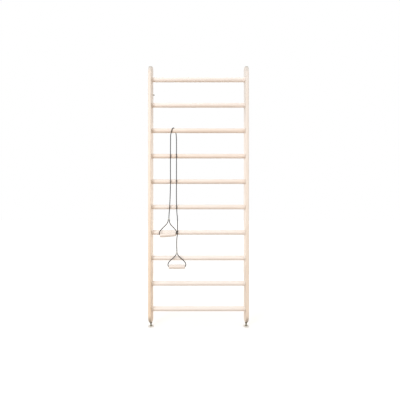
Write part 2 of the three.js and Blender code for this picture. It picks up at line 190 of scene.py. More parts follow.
def birchMaterial(name, tones):
    material, add, shader = newMaterial(name)
    where = add("TexCoord")
    lay = tones["grain"]  # turns the grain along Z, then places and tilts the heart of the tree
    grain = add("Mapping", {}, {"Rotation": lay["turn"]}, {"Vector": (where, "Object")})
    cells = add("Mapping", {}, {"Scale": birch["wanderCells"]}, {"Vector": (grain, 0)})
    noise = {"Scale": 1.0, "Detail": 2.0, "Roughness": 0.5}
    drift = add("TexNoise", {}, noise, {"Vector": (cells, 0)})
    half = {1: (0.5, 0.5, 0.5)}
    bothWays = add("VectorMath", {"operation": "SUBTRACT"}, half, {0: (drift, "Color")})
    wander = {1: birch["wander"]}
    shift = add("VectorMath", {"operation": "MULTIPLY"}, wander, {0: (bothWays, 0)})
    bent = add("VectorMath", {"operation": "ADD"}, links={0: (grain, 0), 1: (shift, 0)})
    seat = {"Location": lay["heart"], "Rotation": lay["tilt"]}
    heart = add("Mapping", {}, seat, {"Vector": (bent, 0)})
    sawRings = {"wave_type": "RINGS", "rings_direction": "Z", "wave_profile": "SAW"}
    fine = birch["wavePeriod"] / birch["ringSpacing"]
    wave = {"Scale": fine, "Distortion": 0.6, "Detail": 2.0, "Detail Scale": 1.5}
    rings = add("TexWave", sawRings, wave, {"Vector": (heart, 0)})
    fibreCells = (1 / birch["fibreWidth"], 1 / birch["fibreWidth"], 1 / birch["fibreLength"])
    streak = add("Mapping", {}, {"Scale": fibreCells}, {"Vector": (grain, 0)})
    noise = {"Scale": 1.0, "Detail": 3.0, "Roughness": 0.6}
    fibre = add("TexNoise", {}, noise, {"Vector": (streak, 0)})
    noise = {"Scale": 1 / birch["patch"], "Detail": 1.0}
    patch = add("TexNoise", {}, noise, {"Vector": (where, "Object")})
    ringTone = add("ValToRGB", links={"Fac": (rings, "Fac")})
    setRamp(ringTone, [(0.0, tones["pale"]), (0.62, tones["warm"]), (0.95, tones["line"])])
    colour, multiply = {"data_type": "RGBA"}, {"data_type": "RGBA", "blend_type": "MULTIPLY"}
    pale = {0: birch["lineStrength"], 6: linear(tones["pale"])}
    toned = add("Mix", colour, pale, {7: (ringTone, "Color")})
    limits = {"From Min": 0.55, "From Max": 0.8, "To Max": birch["fibreStrength"]}
    share = add("MapRange", {}, limits, {"Value": (fibre, 0)})
    toned = add("Mix", colour, {7: linear(tones["fibre"])}, {0: (share, 0), 6: (toned, 2)})
    limits = {"From Min": 0.35, "From Max": 0.7, "To Max": birch["patchStrength"]}
    share = add("MapRange", {}, limits, {"Value": (patch, 0)})
    toned = add("Mix", multiply, {7: linear(tones["cast"])}, {0: (share, 0), 6: (toned, 2)})
    # a tone that changes along one way: on the boards painted warm light, on the rungs a tone for each
    # stick
    if "lean" in tones:
        lean = tones["lean"]
        way = {1: lean["way"]}
        far = add("VectorMath", {"operation": "DOT_PRODUCT"}, way, {0: (where, "Object")})
        limits = {"From Min": lean["least"], "From Max": lean["most"]}
        share = add("MapRange", {}, limits, {"Value": (far, "Value")})
        cast = add("ValToRGB", links={"Fac": (share, 0)})
        setRamp(cast, lean["casts"])
        toned = add("Mix", multiply, {0: 1.0}, {6: (toned, 2), 7: (cast, "Color")})
    # the end tone where the surface cuts the fibres; on the boards it is partly painted shade on the
    # rounded ends
    cut = add("Attribute", {"attribute_name": "endGrain"})
    toned = add("Mix", colour, {7: linear(tones["end"])}, {0: (cut, "Fac"), 6: (toned, 2)})
    depth = {"Strength": 0.25, "Distance": birch["relief"]}
    bump = add("Bump", values=depth, links={"Height": (fibre, 0)})
    limits = dict(zip(("To Min", "To Max"), birch["roughness"]))
    gloss = add("MapRange", {}, limits, {"Value": (fibre, 0)})
    lacquer = {"Coat Weight": birch["coat"], "Coat Roughness": birch["coatRoughness"]}
    surface = {"Base Color": (toned, 2), "Normal": (bump, "Normal"), "Roughness": (gloss, 0)}
    setNode(shader, lacquer, surface)
    return material


def markEndGrain(obj, axis, limits):  # how squarely the surface at each face corner cuts the fibres
    start, full = limits
    marks = obj.data.attributes.new("endGrain", "FLOAT", "CORNER")
    for mark, normal in zip(marks.data, obj.data.corner_normals):
        mark.value = min(1.0, max(0.0, (abs(normal.vector.dot(axis)) - start) / (full - start)))


def speckled(name, size, detail, tones):  # a material with its two tones in a fine even noise
    material, add, shader = newMaterial(name)
    where = add("TexCoord")
    grain = add("TexNoise", {}, {"Scale": 1 / size, "Detail": detail}, {"Vector": (where, "Object")})
    ramp = add("ValToRGB", links={"Fac": (grain, 0)})
    setRamp(ramp, [(0.3, tones[0]), (0.7, tones[1])])
    setNode(shader, links={"Base Color": (ramp, "Color")})
    return material, add, shader, grain


# Zinc plated steel: dull, slightly warm, faint cloudy spangle
zinc = {
    "spangle": 0.003125, "roughness": (0.3, 0.5),
    "bright": ("#a3a19b", "#bcbab4"), "olive": ("#6b6452", "#857d69"),
}


def zincSteel(name, tones):
    material, add, shader, cloud = speckled(name, zinc["spangle"], 3.0, tones)
    limits = dict(zip(("To Min", "To Max"), zinc["roughness"]))
    rough = add("MapRange", {}, limits, {"Value": (cloud, 0)})
    setNode(shader, {"Metallic": 1.0}, {"Roughness": (rough, 0)})
    return material


# Moulded polyamide: pale and matte, its spark-eroded grain drawn coarse enough to show
polyamide = {
    "tones": ("#e9e9e6", "#f1f1ee"), "relief": 0.0001, "roughness": 0.55,
    "grit": 1 / 1400,  # about 0.7 mm
}


def palePolyamide():
    tones = polyamide["tones"]
    material, add, shader, grit = speckled("mouldedPolyamide", polyamide["grit"], 2.0, tones)
    depth = {"Strength": 0.3, "Distance": polyamide["relief"]}
    bump = add("Bump", values=depth, links={"Height": (grit, 0)})
    setNode(shader, {"Roughness": polyamide["roughness"]}, {"Normal": (bump, "Normal")})
    return material


cordMaterial = braidedCord()
uprightBirch = birchMaterial("lacqueredBirchUpright", birch["board"])
rungBirch = birchMaterial("lacqueredBirchRung", birch["turned"])
gripBirch = birchMaterial("lacqueredBirchGrip", birch["grip"])
zincMaterial = zincSteel("brightZincSteel", zinc["bright"])
footMaterial = zincSteel("oliveZincSteel", zinc["olive"])
polyamideMaterial = palePolyamide()
print("finishes made")


# Shapes that several pieces share
def meshObject(name, bm, material=None, sharp=None):  # smooth, but for edges of more than sharp degrees
    mesh = bpy.data.meshes.new(name)
    bm.to_mesh(mesh)
    bm.free()
    if material:
        mesh.materials.append(material)
    if sharp:
        mesh.shade_smooth()
        mesh.set_sharp_from_angle(angle=math.radians(sharp))
    return addObject(name, mesh)


def addRing(bm, centre, across, beside, radii):
    ring = []
    for k, radius in enumerate(radii):
        angle = 2 * math.pi * k / len(radii)
        ring.append(bm.verts.new(centre + radius * (across * math.cos(angle) + beside * math.sin(angle))))
    return ring


def joinRings(bm, rings):  # faces from ring to ring, or a fan where one of them is a point
    faces = []
    for ringA, ringB in zip(rings, rings[1:]):
        count = max(len(ringA), len(ringB))
        for k in range(count):
            n = (k + 1) % count
            if len(ringA) == 1:
                corners = (ringA[0], ringB[n], ringB[k])
            elif len(ringB) == 1:
                corners = (ringA[k], ringA[n], ringB[0])
            else:
                corners = (ringA[k], ringA[n], ringB[n], ringB[k])
            faces.append(bm.faces.new(corners))
    return faces


# The profile has pairs of radius and reach along the axis, and carve can change the radius round the turn
def lathe(name, profile, axis, middle, segments, material=None, sharp=40, carve=None):
    along, across = {"x": (xWay, yWay), "y": (yWay, zWay), "z": (zWay, xWay)}[axis]
    bm = bmesh.new()
    rings = []
    for radius, reach in profile:
        centre = Vector(middle) + along * reach
        if radius == 0:
            rings.append([bm.verts.new(centre)])
            continue
        radii = [carve(radius, reach, k / segments) if carve else radius for k in range(segments)]
        rings.append(addRing(bm, centre, across, along.cross(across), radii))
    joinRings(bm, rings)
    bmesh.ops.remove_doubles(bm, verts=bm.verts, dist=1e-7)
    bmesh.ops.recalc_face_normals(bm, faces=bm.faces)
    return meshObject(name, bm, material, sharp)


def arcPoints(centre, radius, start, end, steps):
    points = []
    for i in range(steps + 1):
        angle = math.radians(start + (end - start) * i / steps)
        points.append((centre[0] + radius * math.cos(angle), centre[1] + radius * math.sin(angle)))
    return points


def roundedBoard(name, outline, low, high, toSpace, edgeRound, steps, material):  # an outline made thick
    bm = bmesh.new()
    bottom = [bm.verts.new(toSpace(u, v, low)) for u, v in outline]
    top = [bm.verts.new(toSpace(u, v, high)) for u, v in outline]
    caps = [bm.faces.new(bottom[::-1]), bm.faces.new(top)]
    for i in range(len(outline)):
        n = (i + 1) % len(outline)
        bm.faces.new((bottom[i], bottom[n], top[n], top[i]))
    bmesh.ops.recalc_face_normals(bm, faces=bm.faces)
    rims = [edge for cap in caps for edge in cap.edges]
    bevel = {"offset": edgeRound, "segments": steps, "profile": 0.5, "clamp_overlap": True}
    bmesh.ops.bevel(bm, geom=rims, affect="EDGES", **bevel)
    return meshObject(name, bm, material)


def boxBlock(name, low, high):
    bm = bmesh.new()
    bmesh.ops.create_cube(bm, size=1.0)
    for vert in bm.verts:
        vert.co = [low[i] + (high[i] - low[i]) * (vert.co[i] + 0.5) for i in range(3)]
    return meshObject(name, bm)


def plainMesh(obj, name, sharp=35):  # an object with modifiers as a finished mesh at the origin
    bpy.context.view_layer.update()
    depsgraph = bpy.context.evaluated_depsgraph_get()
    mesh = bpy.data.meshes.new_from_object(obj.evaluated_get(depsgraph))
    mesh.name = name
    bpy.data.objects.remove(obj)
    mesh.shade_smooth()
    mesh.set_sharp_from_angle(angle=math.radians(sharp))
    return addObject(name, mesh)


cutOver = 0.001  # how far a cutter reaches past the surface
cutShading = {"sharp": 32, "flatWeight": 80}


def cutAway(obj, cutters):  # bores and recesses, then even shading on the flats
    bm = bmesh.new()
    for cutter in cutters:
        bm.from_mesh(cutter.data)
        bpy.data.objects.remove(cutter)
    tool = meshObject("cutters", bm)
    boolean = obj.modifiers.new("bores", "BOOLEAN")
    boolean.operation = "DIFFERENCE"
    boolean.solver = "EXACT"
    boolean.use_self = True
    boolean.object = tool
    name = obj.name
    obj.name = name + "Blank"
    cut = plainMesh(obj, name, cutShading["sharp"])
    bpy.data.objects.remove(tool)
    even = cut.modifiers.new("even", "WEIGHTED_NORMAL")
    even.keep_sharp = True
    even.weight = cutShading["flatWeight"]
    cut.name = name + "Cut"
    return plainMesh(cut, name, cutShading["sharp"])


def place(obj, body, slot, *nodes):
    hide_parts(*nodes)
    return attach(obj, body)


# Pull cord: its route has the same points as the solids, but for one
pullCord = {
    "diameter": 0.007, "sides": 16, "capSteps": 5, "hungRungHeight": 1.729,
    "turnRadius": 0.0241, "turnSteps": 12, "turnFrontX": -0.2326, "turnBackX": -0.204,
    "front": [
        (-0.2434, -0.0245, 1.671), (-0.2428, -0.0244, 1.683), (-0.2404, -0.0243, 1.697),
        (-0.2368, -0.0242, 1.713),
    ],
    "back": [
        (-0.2005, 0.021, 1.71), (-0.1962, 0.0124, 1.671), (-0.1942, 0.0, 1.615),
        (-0.193, -0.012, 1.559), (-0.1923, -0.0214, 1.521), (-0.1921, -0.0242, 1.503),
        (-0.1921, -0.0244, 1.471),
    ],
    "legsApart": 0.011, "sleeveLength": 0.016,
    "sleeveGap": 0.0038,  # from the swing's axis to the sleeve's lower end
    "barStep": 0.003, "strandStep": 0.004, "yokeStep": 0.0025,  # how often each route is sampled
}
pullHandles = {
    "left": {
        "strand": [
            (-0.2434, -0.0245, 1.671), (-0.2442, -0.026, 1.581), (-0.2443, -0.0289, 1.391),
            (-0.2442, -0.0316, 1.241), (-0.2475, -0.0337, 1.121), (-0.2532, -0.0354, 1.021),
            (-0.2563, -0.0363, 0.981),
        ],
        "sleeve": (-0.2568, -0.0369, 0.941),
        "grip": (-0.2652, -0.039, 0.817),
        "tilt": math.radians(-4.5),
        "leg": [  # outwards and upwards from the middle of the grip
            (0.035, 0.0), (0.054, 0.0), (0.06, 0.0001), (0.0654, 0.0011), (0.0699, 0.0041),
            (0.0729, 0.0086), (0.074, 0.014), (0.0738, 0.021), (0.0715, 0.029), (0.067, 0.0375),
            (0.0602, 0.046), (0.0442, 0.0635), (0.0273, 0.0805), (0.0188, 0.0895),
            (0.0128, 0.0985), (0.009, 0.107), (0.0066, 0.1155),
        ],
    },
    "right": {
        "strand": [
            (-0.1921, -0.0244, 1.471), (-0.1921, -0.0265, 1.281), (-0.1921, -0.027, 1.121),
            (-0.1885, -0.0273, 1.014), (-0.1834, -0.0276, 0.951), (-0.1828, -0.028, 0.871),
            (-0.1836, -0.0284, 0.827), (-0.1884, -0.0294, 0.781),
            (-0.1896, -0.0318, 0.721),  # 0.8 mm behind the solid, clear of the other yoke
            (-0.1878, -0.0366, 0.687),
        ],
        "sleeve": (-0.1874, -0.0372, 0.6505),
        "grip": (-0.1874, -0.039, 0.541),
        "tilt": 0.0,
        "leg": [
            (0.035, 0.0), (0.057, 0.0), (0.063, 0.0001), (0.0684, 0.0011), (0.0729, 0.0041),
            (0.0759, 0.0086), (0.077, 0.014), (0.0766, 0.023), (0.0736, 0.032), (0.0675, 0.0415),
            (0.0574, 0.053), (0.0368, 0.0705), (0.0194, 0.0875), (0.0128, 0.0955),
            (0.0084, 0.1025),
        ],
    },
}


def smoothRoute(points, gap):  # a curve through the chosen points, sampled about every gap
    knots = [Vector(point) for point in points]
    knots = [2 * knots[0] - knots[1]] + knots + [2 * knots[-1] - knots[-2]]
    line = []
    for p0, p1, p2, p3 in zip(knots, knots[1:], knots[2:], knots[3:]):
        d0, d1, d2 = ((b - a).length ** 0.5 for a, b in ((p0, p1), (p1, p2), (p2, p3)))
        m1 = d1 * ((p1 - p0) / d0 - (p2 - p0) / (d0 + d1) + (p2 - p1) / d1)
        m2 = d1 * ((p2 - p1) / d1 - (p3 - p1) / (d1 + d2) + (p3 - p2) / d2)
        steps = max(2, math.ceil((p2 - p1).length / gap))
        for i in range(steps):
            t = i / steps
            a = 2 * t**3 - 3 * t**2 + 1
            b = t**3 - 2 * t**2 + t
            c = 3 * t**2 - 2 * t**3
            d = t**3 - t**2
            line.append(a * p1 + b * m1 + c * p2 + d * m2)
    return line + [knots[-2]]


def turnOverRung():
    points = []
    for i in range(pullCord["turnSteps"] + 1):
        share = i / pullCord["turnSteps"]
        angle = math.pi * (1 - share)
        x = pullCord["turnFrontX"] + (pullCord["turnBackX"] - pullCord["turnFrontX"]) * share
        y = pullCord["turnRadius"] * math.cos(angle)
        points.append((x, y, pullCord["hungRungHeight"] + pullCord["turnRadius"] * math.sin(angle)))
    return points


def yokeRoute(handle):  # near the grip the legs turn with it, and higher up they lean over to the sleeve
    sleeve, grip = Vector(handle["sleeve"]), Vector(handle["grip"])
    rise = sleeve.z - grip.z
    turn, lift = math.cos(handle["tilt"]), math.sin(handle["tilt"])
    legPoints = handle["leg"] + [(pullCord["legsApart"] / 2, rise)]
    route = {}
    for side in (-1, 1):
        route[side] = []
        for outward, up in legPoints:
            lean = up / rise
            turnedX = side * outward * turn + up * lift
            turnedZ = up * turn - side * outward * lift
            x = grip.x + turnedX * (1 - lean) + (side * outward + sleeve.x - grip.x) * lean
            y = grip.y + (sleeve.y - grip.y) * lean
            route[side].append(Vector((x, y, grip.z + turnedZ * (1 - lean) + up * lean)))
    return route[-1][::-1] + route[1]


def roundCap(station, way):  # smaller and smaller rings past the cord's end
    middle, tangent, across, radius, length = station
    cap = []
    for step in range(1, pullCord["capSteps"]):
        angle = step * math.pi / 2 / pullCord["capSteps"]
        reach = way * radius * math.sin(angle)
        cap.append((middle + reach * tangent, tangent, across, radius * math.cos(angle), length + reach))
    return cap


def cordTube(name, line, roundEnds=False):
    radius, sides = pullCord["diameter"] / 2, pullCord["sides"]
    tangents = [(b - a).normalized() for a, b in zip(line[:1] + line, line[1:] + line[-1:])]
    across = tangents[0].orthogonal().normalized()
    travelled = 0.0
    stations = []  # middle, tangent, across, radius, length so far
    for i, (point, tangent) in enumerate(zip(line, tangents)):
        if i:
            travelled += (point - line[i - 1]).length
            across = (across - tangent * across.dot(tangent)).normalized()
        stations.append((point, tangent, across, radius, travelled))
    if roundEnds:
        stations = roundCap(stations[0], -1)[::-1] + stations + roundCap(stations[-1], 1)
    bm = bmesh.new()
    uv = bm.loops.layers.uv.new("cordMap")
    rings = []
    for middle, tangent, across, size, length in stations:
        rings.append(addRing(bm, middle, across, tangent.cross(across), [size] * sides))
    for i, face in enumerate(joinRings(bm, rings)):
        low, k = divmod(i, sides)
        corners = ((low, k), (low, k + 1), (low + 1, k + 1), (low + 1, k))
        for loop, (ring, turn) in zip(face.loops, corners):
            loop[uv].uv = (stations[ring][-1], turn / sides)
    bm.faces.new(rings[0][::-1])
    bm.faces.new(rings[-1])
    tube = meshObject(name, bm, cordMaterial)
    tube.data.shade_smooth()
    return tube


# Sleeves: pressed over the strand and the two legs, so a smooth bell with two pinch marks
sleeveShape = {
    "top": 0.0055, "bottom": 0.0095, "edge": 0.001, "lip": 0.002, "hollow": 0.0005,
    "taper": (0.25, 0.75),  # shares of the length
    "pinch": 0.0004, "pinchWidth": 0.0007, "pinchesAt": (0.14, 0.86),
    "steps": 32, "sides": 40, "sharp": 50,
}


def sleeveProfile():
    length, edge, hollow = pullCord["sleeveLength"], sleeveShape["edge"], sleeveShape["hollow"]
    top, bottom, steps = sleeveShape["top"], sleeveShape["bottom"], sleeveShape["steps"]
    taperStart, taperEnd = sleeveShape["taper"]
    lip = bottom - sleeveShape["lip"]
    profile = [(0.0, hollow), (lip - hollow, hollow), (lip, 0.0), (bottom - edge, 0.0)]
    for i in range(steps + 1):
        along = edge + (length - 2 * edge) * i / steps
        share = min(1.0, max(0.0, (along / length - taperStart) / (taperEnd - taperStart)))
        radius = bottom + (top - bottom) * (3 * share**2 - 2 * share**3)
        for pinchAt in sleeveShape["pinchesAt"]:
            off = (along - length * pinchAt) / sleeveShape["pinchWidth"]
            radius -= sleeveShape["pinch"] * math.exp(-(off**2))
        profile.append((radius, along))
    return profile + [(top - edge, length), (0.0, length)]


# Cord pieces: the stretch on the bars, two strands with sleeves, and the yokes through the grips
onBars = smoothRoute(pullCord["front"] + turnOverRung() + pullCord["back"], pullCord["barStep"])
barCord = cordTube("barCord", onBars)
place(barCord, "frame", "cord", "cord_on_bars")
for side, handle in pullHandles.items():
    sleeveFoot = Vector(handle["sleeve"]) + zWay * pullCord["sleeveGap"]
    sleeveHead = sleeveFoot + zWay * pullCord["sleeveLength"]
    strandLine = smoothRoute(handle["strand"] + [sleeveHead], pullCord["strandStep"])
    strand = cordTube(f"strand{side.title()}", strandLine)
    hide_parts(f"strand_{side}")
    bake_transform(strand)
    turning = (sleeveFoot, sleeveShape["sides"], zincMaterial, sleeveShape["sharp"])
    sleeve = lathe(f"sleeve{side.title()}", sleeveProfile(), "z", *turning)
    place(sleeve, f"{side}_cord_end", "zinc", f"cord_sleeve_{side}")
    yokeLine = smoothRoute(yokeRoute(handle), pullCord["yokeStep"])
    yoke = cordTube(f"yoke{side.title()}", yokeLine, roundEnds=True)
    place(yoke, f"{side}_handle", "cord", f"yoke_{side}")
print("pull cord laid over the third rung")


# Node trees: what repeats is made by a tree with named sizes
def newTree(name, sizes):
    tree = bpy.data.node_groups.new(name, "GeometryNodeTree")
    tree.interface.new_socket("Geometry", in_out="OUTPUT", socket_type="NodeSocketGeometry")
    for label, kind in sizes.items():
        tree.interface.new_socket(label, in_out="INPUT", socket_type="NodeSocket" + kind)
    add = partial(addNode, tree, "")  # its nodes are of several families
    return tree, add, add("NodeGroupInput")


def endTree(add, source, entry):  # real geometry with its material, as the export needs it
    real = add("GeometryNodeRealizeInstances", links={"Geometry": (source, 0)})
    paint = {"Geometry": (real, 0), "Material": (entry, "Material")}
    painted = add("GeometryNodeSetMaterial", links=paint)
    add("NodeGroupOutput", links={"Geometry": (painted, 0)})


def runTree(tree, name, sizes):  # the tree's result as a plain mesh object
    carrier = addObject(name + "Carrier", bpy.data.meshes.new(name + "Carrier"))
    modifier = carrier.modifiers.new(name, "NODES")
    modifier.node_group = tree
    for item in tree.interface.items_tree:
        if item.in_out == "INPUT" and item.name in sizes:
            modifier[item.identifier] = sizes[item.name]
    return plainMesh(carrier, name)


# Rungs: turned sticks with a small chamfer at each end
rungSet = {
    "count": 10, "lowest": 0.161, "pitch": 0.224,
    "diameter": 0.04, "reach": 0.4227, "chamfer": 0.0015, "sides": 64,
}


def rungTree():
    sizes = {
        "Count": "Int", "Lowest": "Vector", "Pitch": "Vector", "Radius": "Float",
        "Reach": "Vector", "End Radius": "Float", "Spread": "Float", "Material": "Material",
    }
    tree, add, entry = newTree("rungs", sizes)
    row = {"Count": (entry, "Count"), "Start Location": (entry, "Lowest"), "Offset": (entry, "Pitch")}
    heights = add("GeometryNodeMeshLine", {"mode": "OFFSET"}, links=row)
    back = add("ShaderNodeVectorMath", {"operation": "SCALE"}, {"Scale": -1.0}, {0: (entry, "Reach")})
    axis = add("GeometryNodeCurvePrimitiveLine", links={"Start": (back, 0), "End": (entry, "Reach")})
    thirds = add("GeometryNodeResampleCurve", values={"Count": 4}, links={"Curve": (axis, 0)})
    ends = add("GeometryNodeCurveEndpointSelection", values={"Start Size": 1, "End Size": 1})
    inner = add("FunctionNodeBooleanMath", {"operation": "NOT"}, links={0: (ends, 0)})
    here = add("GeometryNodeInputPosition")
    outwards = {0: (here, 0), "Scale": (entry, "Spread")}
    spread = add("ShaderNodeVectorMath", {"operation": "SCALE"}, links=outwards)
    shift = {"Geometry": (thirds, 0), "Selection": (inner, 0), "Position": (spread, 0)}
    chamfered = add("GeometryNodeSetPosition", links=shift)
    choice = {"Switch": (ends, 0), "False": (entry, "Radius"), "True": (entry, "End Radius")}
    size = add("GeometryNodeSwitch", {"input_type": "FLOAT"}, links=choice)
    circle = {"Resolution": rungSet["sides"], "Radius": 1.0}
    section = add("GeometryNodeCurvePrimitiveCircle", values=circle)
    sweep = {"Curve": (chamfered, 0), "Profile Curve": (section, 0), "Scale": (size, 0)}
    rod = add("GeometryNodeCurveToMesh", values={"Fill Caps": True}, links=sweep)
    copies = {"Points": (heights, 0), "Instance": (rod, 0)}
    endTree(add, add("GeometryNodeInstanceOnPoints", links=copies), entry)
    return tree


rungSizes = {
    "Count": rungSet["count"],
    "Lowest": (0.0, 0.0, rungSet["lowest"]),
    "Pitch": (0.0, 0.0, rungSet["pitch"]),
    "Radius": rungSet["diameter"] / 2,
    "Reach": (rungSet["reach"], 0.0, 0.0),
    "End Radius": rungSet["diameter"] / 2 - rungSet["chamfer"],
    "Spread": 3 * (1 - rungSet["chamfer"] / rungSet["reach"]),  # from a third of the reach to the chamfer
    "Material": rungBirch,
}
rungs = runTree(rungTree(), "rungs", rungSizes)
place(rungs, "frame", "wood", *[f"rung_{i + 1:02d}" for i in range(rungSet["count"])])
print("rungs turned")

# Uprights: boards on edge with swept front corners, rung seats, screw holes and the foot's bore
upright = {
    "inner": 0.408, "thickness": 0.026, "depth": 0.12, "low": 0.036, "high": 2.302,
    "frontRadius": 0.088, "frontSteps": 28, "backRadius": 0.008, "backSteps": 8,
    "edgeRound": 0.006, "edgeSteps": 5, "endGrain": (0.0, 0.9),
    "seatDepth": 0.015, "seatGap": 0.0003, "seatEase": 0.0004, "boreSides": 48,
    "shankHole": 0.0033, "headHole": 0.0063, "headSink": 0.0004,
}
wallPlate = {
    "middle": 2.065, "width": 0.014, "height": 0.046, "thickness": 0.003, "gap": 0.0003,
    "corner": 0.002, "cornerSteps": 4, "edge": 0.0004, "edgeSteps": 2, "screwHoleSides": 24,
    "earHeight": 0.014, "earReach": 0.012, "earSteps": 16, "wallHole": 0.0055, "wallHoleSides": 32,
    "screwSpacing": 0.03, "shankHole": 0.0023, "headHole": 0.0043, "headSink": 0.0004,
}
footPlace = {"middle": 0.421, "setBack": 0.012, "length": 0.036, "gap": 0.0003, "sides": 48}
footInsert = {
    "flange": 0.022, "flangeThickness": 0.0025, "flangeEdge": 0.0003,
    "barrel": 0.017, "barrelLength": 0.038, "rim": 0.0006,
}
footStem = {
    "diameter": 0.012, "room": 0.0008, "boreTop": 0.1045, "sides": 40, "sharp": 50,
    "bottom": 0.0048, "top": 0.0848, "topEdge": 0.001,
    "base": 0.02, "baseThickness": 0.003, "baseEdge": 0.0008,
    "cone": 0.008, "coneEdge": 0.0006, "coneSteps": 8, "coneHollow": 1.8,
    "threadPitch": 0.00175, "threadDepth": 0.00107, "stepsInPitch": 6, "runOutSteps": 8,
}


def sunkHole(sizes, near, face):  # profile of a countersunk screw hole, from near out through the face
    shank, head = sizes["shankHole"], sizes["headHole"]
    headTop, far = face - sizes["headSink"], face + cutOver
    return [(shank, near), (shank, headTop - (head - shank)), (head, headTop), (head, far), (0.0, far)]


def makeUpright(side):
    sign, half = sideSigns[side], upright["depth"] / 2
    back, front = upright["backRadius"], upright["frontRadius"]
    backSteps, frontSteps = upright["backSteps"], upright["frontSteps"]
    low, high = upright["low"], upright["high"]
    outline = arcPoints((half - back, low + back), back, -90, 0, backSteps)
    outline += arcPoints((half - back, high - back), back, 0, 90, backSteps)
    outline += arcPoints((front - half, high - front), front, 90, 180, frontSteps)
    outline += arcPoints((front - half, low + front), front, 180, 270, frontSteps)
    inner, outer = upright["inner"], upright["inner"] + upright["thickness"]
    finish = (upright["edgeRound"], upright["edgeSteps"], uprightBirch)
    name = f"upright{side.title()}"
    board = roundedBoard(name, outline, inner, outer, lambda u, v, w: (sign * w, u, v), *finish)
    seat, ease = rungSet["diameter"] / 2 + upright["seatGap"], upright["seatEase"]
    floor = inner + upright["seatDepth"]
    profile = [(0.0, inner - cutOver), (seat + ease + cutOver, inner - cutOver), (seat + ease, inner)]
    profile += [(seat, inner + ease), (seat, floor)] + sunkHole(upright, floor, outer)
    profile = [(radius, sign * reach) for radius, reach in profile]
    cutters = []
    for i in range(rungSet["count"]):
        middle = (0, 0, rungSet["lowest"] + i * rungSet["pitch"])
        cutters.append(lathe("seatCutter", profile, "x", middle, upright["boreSides"]))
    gap, xMiddle = footPlace["gap"], sign * footPlace["middle"]
    flange, barrel = footInsert["flange"] / 2 + gap, footInsert["barrel"] / 2 + gap
    flangeSeat, barrelTop = (low + footInsert[k] + gap for k in ("flangeThickness", "barrelLength"))
    stem, boreTop = footStem["diameter"] / 2 + footStem["room"], footStem["boreTop"]
    profile = [(0.0, low - cutOver), (flange, low - cutOver), (flange, flangeSeat), (barrel, flangeSeat)]
    profile += [(barrel, barrelTop), (stem, barrelTop), (stem, boreTop), (0.0, boreTop)]
    middle = (xMiddle, footPlace["setBack"], 0)
    cutters.append(lathe("footCutter", profile, "z", middle, upright["boreSides"]))
    gap, zMiddle = wallPlate["gap"], wallPlate["middle"]
    wide, tall, ear = (wallPlate[k] / 2 + gap for k in ("width", "height", "earHeight"))
    near, far = half - wallPlate["thickness"] - gap, half + cutOver
    earEnd = xMiddle + upright["thickness"] / 2 + cutOver
    plateLow, plateHigh = (xMiddle - wide, near, zMiddle - tall), (xMiddle + wide, far, zMiddle + tall)
    cutters.append(boxBlock("plateCutter", plateLow, plateHigh))
    cutters.append(boxBlock("earCutter", (xMiddle, near, zMiddle - ear), (earEnd, far, zMiddle + ear)))
    finished = cutAway(board, cutters)
    # on the boards this mask also lays painted shade on the rounded ends
    markEndGrain(finished, zWay, upright["endGrain"])
    return place(finished, "frame", "wood", f"upright_{side}")


for side in sideSigns:
    makeUpright(side)
print("uprights cut")


# Wall plates: flat zinc plated steel with a round-ended ear for the wall screw, both ears towards +X
def makeWallPlate(side):
    half, tall, ear = (wallPlate[k] / 2 for k in ("width", "height", "earHeight"))
    back, corner = upright["depth"] / 2, wallPlate["corner"]
    earMiddle = ear - wallPlate["earReach"] - upright["thickness"] / 2
    steps, outline = wallPlate["cornerSteps"], [(-half, -ear)]
    for u, v, start in ((-1, -1, 180), (1, -1, 270), (1, 1, 0), (-1, 1, 90)):
        outline += arcPoints((u * (half - corner), v * (tall - corner)), corner, start, start + 90, steps)
    outline += [(-half, ear)] + arcPoints((earMiddle, 0), ear, 90, 270, wallPlate["earSteps"])
    xMiddle, zMiddle = sideSigns[side] * footPlace["middle"], wallPlate["middle"]
    front, name = back - wallPlate["thickness"], f"wallPlate{side.title()}"
    finish = (wallPlate["edge"], wallPlate["edgeSteps"], zincMaterial)
    plate = roundedBoard(name, outline, front, back, lambda u, v, w: (xMiddle - u, w, zMiddle + v), *finish)
    near, far = front - 2 * cutOver, back + cutOver
    hole = wallPlate["wallHole"] / 2
    profile = [(0.0, near), (hole, near), (hole, far), (0.0, far)]
    middle = (xMiddle - earMiddle, 0, zMiddle)
    cutters = [lathe("wallHole", profile, "y", middle, wallPlate["wallHoleSides"])]
    profile = [(0.0, near)] + sunkHole(wallPlate, near, back)
    for end in (-1, 1):
        middle = (xMiddle, 0, zMiddle + end * wallPlate["screwSpacing"] / 2)
        cutters.append(lathe("screwHole", profile, "y", middle, wallPlate["screwHoleSides"]))
    return place(cutAway(plate, cutters), "frame", "zinc", f"wall_plate_{side}")


for side in sideSigns:
    makeWallPlate(side)
print("wall plates set in")

# Countersunk wood screws with a hexagon socket, all copies of one screw in each size
screwSets = {
    "rungScrews": {"head": 0.012, "shank": 0.006, "length": 0.06, "tip": 0.007, "socket": 0.004},
    "plateScrews": {"head": 0.008, "shank": 0.004, "length": 0.025, "tip": 0.004, "socket": 0.0025},
}
screwShape = {
    "sides": 24, "headEdge": 0.0002, "turns": 14,
    "plain": 0.4,  # share of the length before the thread
    "root": 0.72,  # share of the shank left between two turns
    "rootAt": 0.0004, "crestAt": 0.0011, "tipRoot": 0.7,
    "socketDepth": 0.45, "socketPoint": 0.5,  # shares of the head's radius
}


